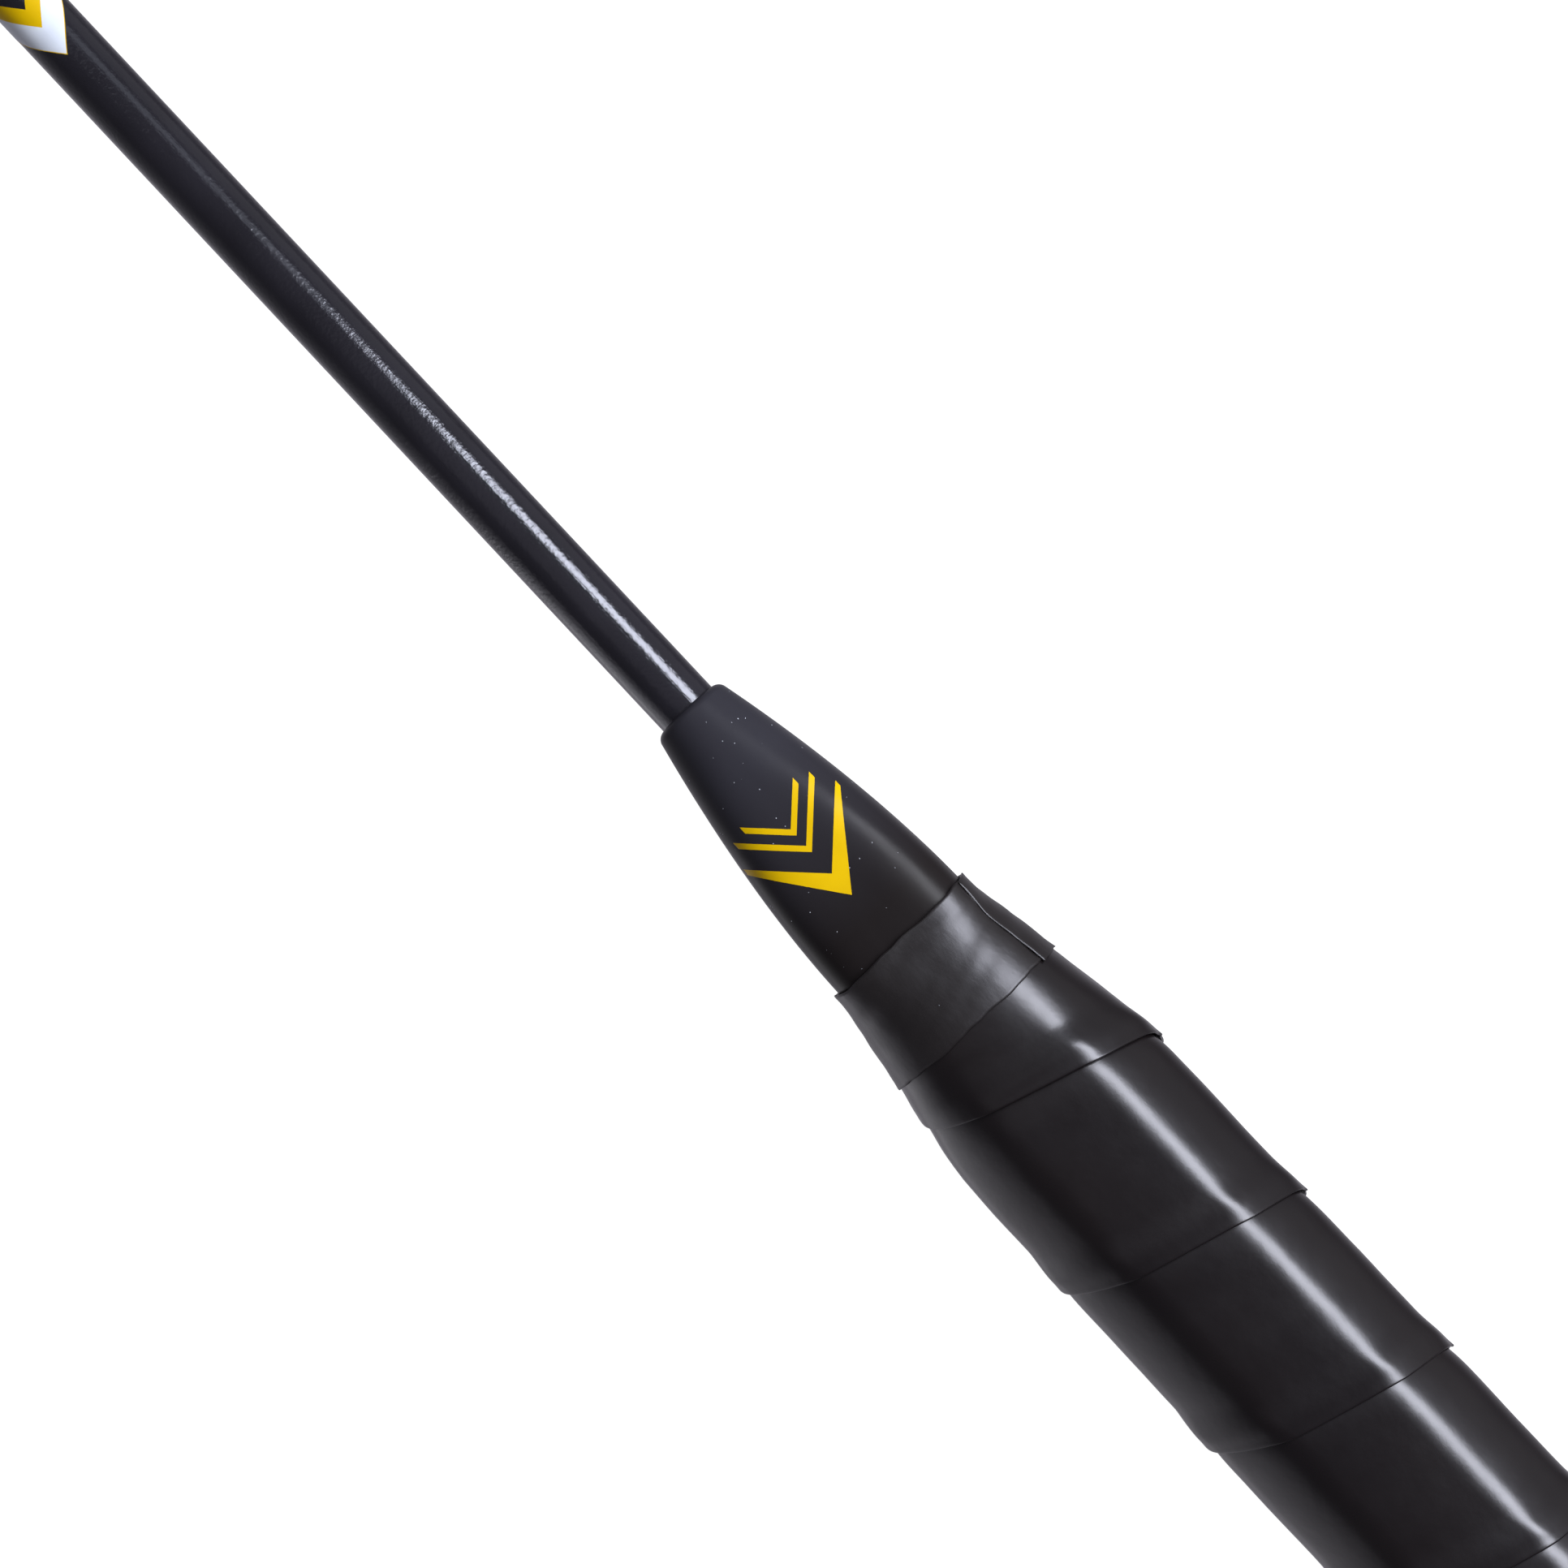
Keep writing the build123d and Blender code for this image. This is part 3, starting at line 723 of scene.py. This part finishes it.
def add_wrap():
    """One long strip wound down the handle, each turn lapped over the next, cut level at both ends."""
    section = wrap_section()
    distances = np.array([row[0] for row in section])
    lifts = np.array([row[1] for row in section])
    outside = lifts > visible_lift
    nearness = np.where(outside, np.exp(-np.abs(distances - wrap_pitch) / edge_fade), 0.0)
    tightness = tight_corner * bell(distances, wrap_pitch - tight_back, tight_reach)
    points = []
    total = wrap_turns * column_count
    for step in range(total + 1):
        index = step % column_count
        around = step // column_count + shares[index] if step < total else wrap_turns
        run = around * 2 * pi
        top_edge_y = first_edge_y + wrap_pitch * (2 - around)
        wander = wander_depth * wobble(run * 0.55, 1.0)
        lower_wander = wander_depth * wobble((run + 2 * pi) * 0.55, 1.0)
        y = top_edge_y - distances + wander + (lower_wander - wander) * np.clip(distances / wrap_pitch, 0, 1)
        swell = 1 + swell_share * wobble(run * 0.8, 4.0)
        soft = soft_depth * ripple(distances / (6 * mm) + run * 0.35, 7.0)
        flap = flap_height(shares[index]) * nearness
        lift = np.where(lifts > 0, lifts * swell, lifts) + soft * outside + flap
        lift = np.where(lift > 0, lift * (1 - ease((y - tape_low.y + tape_grip) / tape_grip)), lift)
        lumps = ripple(y / lump_spacing + run * 0.9, 3.0) * ease((y - lump_y) / lump_reach)
        lift = lift + lump_depth * lumps * outside
        points.append(handle_points(index, y - flap, lift, tightness))
    lattice = np.array(points).reshape(-1, 3)
    faces = tube_faces(total + 1, len(section))
    faces.append(tuple(range(len(section)))[::-1])
    faces.append(tuple(total * len(section) + row for row in range(len(section))))
    wrap = mesh_piece("grip_wrap_strip", lattice, faces, grip_polyurethane)
    trim_between(wrap, wrap_low.y + cut_margin, wrap_high.y - cut_margin)
    place(wrap, "grip_wrap", slot="grip_pu")


def trim_between(piece, low_y, high_y):
    """Cut a piece level at two places along the handle and cap the cuts."""
    mesh = bmesh.new()
    mesh.from_mesh(piece.data)
    for y, way in ((high_y, (0, 1, 0)), (low_y, (0, -1, 0))):
        whole = mesh.verts[:] + mesh.edges[:] + mesh.faces[:]
        cut = bmesh.ops.bisect_plane(mesh, geom=whole, plane_co=(0, y, 0), plane_no=way, clear_outer=True)
        edges = [element for element in cut["geom_cut"] if isinstance(element, bmesh.types.BMEdge)]
        bmesh.ops.holes_fill(mesh, edges=edges)
    bmesh.ops.recalc_face_normals(mesh, faces=mesh.faces[:])
    mesh.to_mesh(piece.data)
    mesh.free()
    for polygon in piece.data.polygons:
        polygon.use_smooth = True


# ---- finishing tape ---------------------------------------------------------------------------------------

tape_thickness = 0.13 * mm
tape_lift = 0.12 * mm  # over the nominal surface of the handle
tape_end_share = 0.150  # where the tape's outer end lies, as a share of the way round
tape_overlap = 0.16  # as a share of the way round
tape_rows = 34
upper_step = 0.65  # how much the outer lap stands up, over the tape's thickness
settle_start = 0.10  # where the outer lap eases down, and over how long, as shares of the way round
settle_reach = 0.10
lower_step = 0.5  # how much the inner lap lies deeper, over the tape's thickness
tuck_start = 0.985
tuck_reach = 0.02
top_slant = 0.15 * mm
top_wander = 0.16 * mm
low_wander = 0.14 * mm
low_stretch = 0.35 * mm  # how far the outer lap reaches past the inner one
top_rim = 0.07 * mm
low_rim = 0.04 * mm
rim_reach = 0.03  # as a share of the tape's width
fold_height = 0.10 * mm
fold_place = 0.16  # across the tape, as a share of its width, at fold_turn of the way round
fold_turn = 0.93
fold_slope = 0.5
fold_reach = 0.05
wrinkle_height = 0.06 * mm
end_curl_height = 0.02 * mm
end_curl_reach = 0.006


def add_tape():
    """A strip of tape wound once round the top of the wrap, its outer end lapped on the right."""
    count = int(column_count * (1 + tape_overlap))
    start = int(np.searchsorted(shares, tape_end_share))
    section_rows = 2 * tape_rows
    along = np.linspace(0, 1, tape_rows)
    rim = top_rim * np.exp(-along / rim_reach) + low_rim * np.exp(-(1 - along) / rim_reach)
    points = []
    for step in range(count + 1):
        index = (start + step) % column_count
        turned = (start + step) // column_count + shares[index] - shares[start]
        upper = 1 - ease((turned - settle_start) / settle_reach)
        lower = ease((turned - tuck_start) / tuck_reach)
        base = tape_lift + tape_thickness * upper_step * upper - tape_thickness * lower_step * lower
        run = turned * 2 * pi
        top_y = tape_high.y + top_wander * wobble(run * 3.1, 2.0) + top_slant * sin(run + 0.6)
        low_y = tape_low.y + low_wander * wobble(run * 4.3, 5.0) - low_stretch * upper
        y = top_y + (low_y - top_y) * along
        fold = fold_height * bell(along, fold_place + fold_slope * (turned - fold_turn), fold_reach)
        crease = fold + wrinkle_height * ripple(along * 5 + run * 1.3, 3.0)
        end_curl = end_curl_height * np.exp(-turned / end_curl_reach)
        outer = handle_points(index, y, base + tape_thickness + rim + crease + end_curl)
        inner_lift = base + (crease + rim * 0.6 + end_curl)[::-1]
        points.append(np.concatenate([outer, handle_points(index, y[::-1], inner_lift)]))
    lattice = np.array(points).reshape(-1, 3)
    faces = tube_faces(count + 1, section_rows)
    faces.append(tuple(range(section_rows))[::-1])
    faces.append(tuple(count * section_rows + row for row in range(section_rows)))
    tape = mesh_piece("finishing_tape_strip", lattice, faces, tape_black)
    place(tape, "finishing_tape", slot="tape")


# ---- prints -----------------------------------------------------------------------------------------------

print_cell = 0.25 * mm
print_thickness = 0.012 * mm
print_lift = 0.03 * mm
cone_print_x = -0.5 * mm
shaft_print_angle = radians(-7.8)
decal_y = mouth_y + 99.8 * mm  # the place on the shaft where its print's v is 0


def print_patch(name, outlines, to_surface, material):
    """Thin ink on a surface: flat outlines are cut into small cells and laid on it by to_surface."""
    mesh = bmesh.new()
    for outline in outlines:
        mesh.faces.new([mesh.verts.new((u * mm, v * mm, 0.0)) for u, v in outline])
    bmesh.ops.triangulate(mesh, faces=mesh.faces[:])
    for axis in (0, 1):
        places = [vert.co[axis] for vert in mesh.verts]
        low, high = min(places), max(places)
        for step in range(1, ceil((high - low) / print_cell)):
            origin = [0.0, 0.0, 0.0]
            normal = [0.0, 0.0, 0.0]
            origin[axis] = low + print_cell * step
            normal[axis] = 1.0
            everything = mesh.verts[:] + mesh.edges[:] + mesh.faces[:]
            bmesh.ops.bisect_plane(mesh, geom=everything, plane_co=origin, plane_no=normal)
    bmesh.ops.remove_doubles(mesh, verts=mesh.verts[:], dist=0.001 * mm)
    for vert in mesh.verts:
        vert.co = to_surface(vert.co.x, vert.co.y)
    bmesh.ops.solidify(mesh, geom=mesh.faces[:], thickness=print_thickness)
    bmesh.ops.recalc_face_normals(mesh, faces=mesh.faces[:])
    data = bpy.data.meshes.new(name)
    mesh.to_mesh(data)
    mesh.free()
    data.materials.append(material)
    for polygon in data.polygons:
        polygon.use_smooth = True
    data.set_sharp_from_angle(angle=radians(50))
    piece = bpy.data.objects.new(name, data)
    bpy.context.scene.collection.objects.link(piece)
    return piece


def on_cone(u, v):
    """A flat print pressed straight down onto the cone; v runs from the mouth towards the butt."""
    x = u + cone_print_x
    y = mouth_y - v
    return Vector((x, y, float(cone_top(x, y)) + print_lift))


def on_shaft(u, v):
    """A print rolled round the shaft; v runs towards the butt from the print's own origin."""
    angle = u / shaft_radius + shaft_print_angle
    radius = shaft_radius + print_lift
    return Vector((radius * sin(angle), decal_y - v, radius * cos(angle)))


def mirrored(outline):
    """The outline on the other side of the print's middle line."""
    return [(-u, v) for u, v in reversed(outline)]


def chevron(apex, thickness, reach, slope=1.0, taper=1.0):
    """Both halves of a chevron; apex is its outer point, thickness lies along v, taper thins its tips."""
    inner_tip = apex - thickness - reach * slope
    half = [(0.0, apex), (0.0, apex - thickness), (reach, inner_tip), (reach, inner_tip + thickness * taper)]
    return [half, mirrored(half)]


def add_prints():
    """Plain nested chevrons, in mm: three on the cone, and broad ones round the shaft."""
    cone_bands = chevron(26.8, 3.1, 7.0, 1.0, 0.25) + chevron(20.6, 0.9, 5.6) + chevron(18.2, 0.9, 3.9)
    place(print_patch("cone_chevrons", cone_bands, on_cone, ink_yellow), slot="cone_gloss")
    around = pi * shaft_radius / mm
    slope = 1.3
    yellow_bands = chevron(1.95, 0.15, around, slope) + chevron(-2.1, 2.7, around, slope)
    yellow_bands += chevron(-6.9, 2.2, around, slope)
    place(print_patch("shaft_chevrons_yellow", yellow_bands, on_shaft, ink_yellow), slot="shaft_gloss")
    white_bands = chevron(1.8, 3.9, around, slope)
    place(print_patch("shaft_chevrons_white", white_bands, on_shaft, ink_white), slot="shaft_gloss")


# ---- strings ----------------------------------------------------------------------------------------------
# The pattern is the CAD strings' own

cross_pitch = 9.1 * mm
middle_cross_y = 548.0 * mm
cross_count = 21
main_pitch = 7.8 * mm
main_fan = 5.0 * mm
mains_per_side = 11
weave_height = 0.37 * mm
string_plane = 0.4 * mm  # from the middle plane to each CAD string, which the weave takes back
fan_top = 11 * mm  # below the hoop's tip
fan_foot = 16 * mm  # above the hoop's lowest point
least_run = 20 * mm  # shorter stretches go round the hoop and stay as they are
string_sides = 12


def straight_runs(mesh, axis):
    """Each straight run of a string, as the centres of its two ends and its radius, and the runs' faces."""
    run_faces = []
    for face in mesh.faces:
        places = [vert.co[axis] for vert in face.verts]
        if max(places) - min(places) > least_run:
            run_faces.append(face)
    waiting = dict.fromkeys(run_faces)  # in the mesh's order, so that every build comes out the same
    runs = []
    while waiting:
        group = [waiting.popitem()[0]]
        for face in group:
            for edge in face.edges:
                beside = [other for other in edge.link_faces if other in waiting]
                for other in beside:
                    del waiting[other]
                group.extend(beside)
        rings = dict.fromkeys(vert for face in group for vert in face.verts)
        middle = sum(vert.co[axis] for vert in rings) / len(rings)
        start_ring = [vert.co for vert in rings if vert.co[axis] < middle]
        end_ring = [vert.co for vert in rings if vert.co[axis] > middle]
        start = sum(start_ring, Vector()) / len(start_ring)
        end = sum(end_ring, Vector()) / len(end_ring)
        runs.append((start, end, sum((point - start).length for point in start_ring) / len(start_ring)))
    return runs, run_faces


def bent_run(start, end, radius, spacing, shift):
    """Rings of points along a straight run, each ring moved up or down by shift."""
    count = ceil((end - start).length / spacing)
    along = np.linspace(0, 1, count + 1)[:, None]
    centres = np.array(start) + np.array(end - start) * along
    centres[:, 2] += shift(centres[:, 0], centres[:, 1])
    side = np.array((end - start).cross(Vector((0, 0, 1))).normalized())
    angles = 2 * pi * np.arange(string_sides)[:, None] / string_sides
    ring = radius * (np.cos(angles) * side + np.sin(angles) * np.array((0, 0, 1)))
    return (centres[:, None, :] + ring).reshape(-1, 3), count + 1


def weave(name, node_name, axis, spacing, shift):
    """A copy of a straight string whose long runs are made anew, bent over and under their crossings."""
    mesh = bmesh.new()
    mesh.from_mesh(nodes[node_name].data)
    bmesh.ops.remove_doubles(mesh, verts=mesh.verts[:], dist=0.0005 * mm)
    runs, run_faces = straight_runs(mesh, axis)
    bmesh.ops.delete(mesh, geom=run_faces, context="FACES")
    for start, end, radius in runs:
        points, rings = bent_run(start, end, radius, spacing, shift)
        verts = [mesh.verts.new(point) for point in points]
        for face in tube_faces(rings, string_sides):
            mesh.faces.new([verts[corner] for corner in face])
    bmesh.ops.recalc_face_normals(mesh, faces=mesh.faces[:])
    data = bpy.data.meshes.new(name)
    mesh.to_mesh(data)
    mesh.free()
    data.materials.clear()
    data.materials.append(string_pale)
    for polygon in data.polygons:
        polygon.use_smooth = True
    piece = bpy.data.objects.new(name, data)
    bpy.context.scene.collection.objects.link(piece)
    place(piece, node_name, slot="string")


def main_number(x, y):
    """Which main passes x, y, as a running number from the middle: 0.5, 1.5 and so on to the right."""
    top_y = hoop_high.y - fan_top
    foot_y = hoop_low.y + fan_foot
    fan = main_fan * np.clip((top_y - y) / (top_y - foot_y), 0, 1)
    return (np.abs(x) - fan) / (main_pitch - fan / (mains_per_side - 0.5))


def inside(y):
    """1 well inside the woven part of the head, easing to 0 past its first and last cross."""
    half = (cross_count - 1) / 2 * cross_pitch
    return 1 - ease((np.abs(y - middle_cross_y) - half) / (cross_pitch * 0.5))


def main_shift(x, y):
    """Mains pass over and under the crosses in turn."""
    number = main_number(x, y)
    side = np.where(x > 0, 1.0, -1.0) * np.where(np.round(number - 0.5) % 2 < 0.5, 1.0, -1.0)
    wave = np.cos(pi * (y - middle_cross_y) / cross_pitch)
    return (side * weave_height * wave - string_plane) * inside(y)


def cross_shift(x, y):
    """Crosses pass the other way at each crossing."""
    number = main_number(x, y)
    row = np.where(np.round((y - middle_cross_y) / cross_pitch) % 2 < 0.5, 1.0, -1.0)
    side = np.where(x > 0, 1.0, -1.0)
    gap = np.clip((number - 0.5) / 0.5 + 1, 0, 1)
    wave = np.where(number > 0.5, np.cos(pi * (number - 0.5)), np.sin(pi / 2 * gap))
    outermost = 1 - ease((number - (mains_per_side - 0.5)) / 0.6)
    return (-side * row * weave_height * wave + string_plane) * outermost * inside(y)


def add_strings():
    """The woven string bed, on the routes of the straight strings."""
    weave("main_string_woven", "main_string", 1, cross_pitch / 7, main_shift)
    weave("cross_string_woven", "cross_string", 0, main_pitch / 6, cross_shift)


# ---- studio -----------------------------------------------------------------------------------------------


def add_stage():
    """A white floor just below the racket."""
    size = 3.0
    gap = 0.1 * mm
    z = min(cap_low.z, wrap_low.z) - gap
    points = [(-size, -size, z), (size, -size, z), (size, size, z), (-size, size, z)]
    material, tree, shader = new_material("stage_white", (0.08, 0.08, 0.08), 0.9, specular=0.0)
    shader.inputs["Emission Color"].default_value = (1.0, 1.0, 1.0, 1.0)
    shader.inputs["Emission Strength"].default_value = 1.0
    floor = mesh_piece("stage_floor", points, [(0, 1, 2, 3)], material)
    floor.visible_glossy = False
    floor.visible_diffuse = False


def add_area(name, place_at, aim, width, length, power, color):
    """A rectangular softbox that faces its aim, with its length along the racket."""
    data = bpy.data.lights.new(name, "AREA")
    data.shape = "RECTANGLE"
    data.size = width
    data.size_y = length
    data.energy = power
    data.color = color
    light = bpy.data.objects.new(name, data)
    bpy.context.scene.collection.objects.link(light)
    back = (place_at - aim).normalized()
    side = Vector((0, 1, 0)).cross(back).normalized()
    up = back.cross(side)
    light.matrix_world = Matrix.Translation(place_at) @ Matrix((side, up, back)).transposed().to_4x4()


def add_world():
    """A white backdrop for the camera; reflections see a dim room that is brighter below and on the left."""
    world = bpy.data.worlds.new("studio")
    bpy.context.scene.world = world
    world.use_nodes = True
    tree = world.node_tree
    background = tree.nodes["Background"]
    coordinates = tree.nodes.new("ShaderNodeTexCoord")
    slope = tree.nodes.new("ShaderNodeVectorMath")
    slope.operation = "DOT_PRODUCT"
    slope.inputs[1].default_value = (0.45, 0.0, 1.0)
    tree.links.new(coordinates.outputs["Generated"], slope.inputs[0])
    height = tree.nodes.new("ShaderNodeMapRange")
    height.inputs["From Min"].default_value = -1.0
    height.inputs["From Max"].default_value = 0.0
    tree.links.new(slope.outputs["Value"], height.inputs["Value"])
    around = ramp(tree, height.outputs["Result"], 0.0, 1.0, (0.56, 0.54, 0.60), (0.122, 0.115, 0.130))
    seen = tree.nodes.new("ShaderNodeLightPath")
    shade = tree.nodes.new("ShaderNodeMixRGB")
    shade.inputs["Color2"].default_value = (1.0, 1.0, 1.0, 1.0)
    tree.links.new(seen.outputs["Is Camera Ray"], shade.inputs["Fac"])
    tree.links.new(around, shade.inputs["Color1"])
    tree.links.new(shade.outputs["Color"], background.inputs["Color"])


def leaning(middle, degrees, distance):
    """A place over a point of the racket, leaning to the right of straight up."""
    lean = radians(degrees)
    return middle + Vector((sin(lean), 0.0, cos(lean))) * distance


def add_lights():
    """Strips high on the right make the streaks; faint softboxes above and at the sides fill the rest."""
    grip = Vector((0.0, 0.03, 0.0))
    cone = Vector((0.0, 0.20, 0.0))
    head = Vector((0.0, 0.56, 0.0))
    cool = (0.96, 0.97, 1.0)
    pink = (1.0, 0.98, 1.0)
    add_area("strip_right", leaning(grip, 43.0, 0.62), grip, 0.24, 0.67, 10.8, (0.91, 0.93, 1.0))
    add_area("strip_far", leaning(head, 43.0, 0.62), head, 0.22, 0.37, 0.25, (0.88, 0.93, 1.0))
    above = leaning(Vector((0.0, -0.04, 0.0)), 19.0, 0.75)
    add_area("haze_above", above, Vector(), 0.30, 0.55, 0.06, pink)
    past_head = Vector((0.10, 0.76, 0.58))
    add_area("head_side", past_head, Vector((0.0, 0.19, 0.0)), 0.45, 0.30, 0.65, cool)
    over_shaft = Vector((0.0, 0.33, 0.75))
    add_area("haze_head", over_shaft, Vector((0.0, 0.33, 0.0)), 0.9, 0.20, 0.13, pink)
    low_left = Vector((-0.6, 0.02, -0.26))
    add_area("panel_left", low_left, Vector((0.0, 0.0, -0.26)), 0.78, 0.62, 0.68, (1.0, 0.96, 1.0))
    add_area("card_left", Vector((-0.40, 0.20, -0.17)), cone, 0.30, 0.18, 0.09, cool)
    add_area("panel_right", Vector((0.6, 0.20, 0.04)), cone, 0.44, 1.0, 0.42, (1.0, 0.99, 1.0))


# ---- build ------------------------------------------------------------------------------------------------

add_camera()
add_shaft()
add_cone()
add_wrap()
add_tape()
add_prints()
add_strings()
add_stage()
add_world()
add_lights()

cad_finishes = {
    "head_frame": hoop_lacquer,
    "t_joint": hoop_lacquer,
    "butt_cap": butt_plastic,
    "butt_badge": badge_face(),
    "handle_core": handle_wood(),
    "grip_adhesive": adhesive_film(),
    "grip_staple": staple_steel(),
    "main_string": string_pale,
    "cross_string": string_pale,
}
for node_name, node in nodes.items():
    finish = cad_finishes.get(node_name, grommet_nylon)
    node.data.materials.clear()
    node.data.materials.append(finish)

bpy.context.scene.view_settings.view_transform = "Standard"
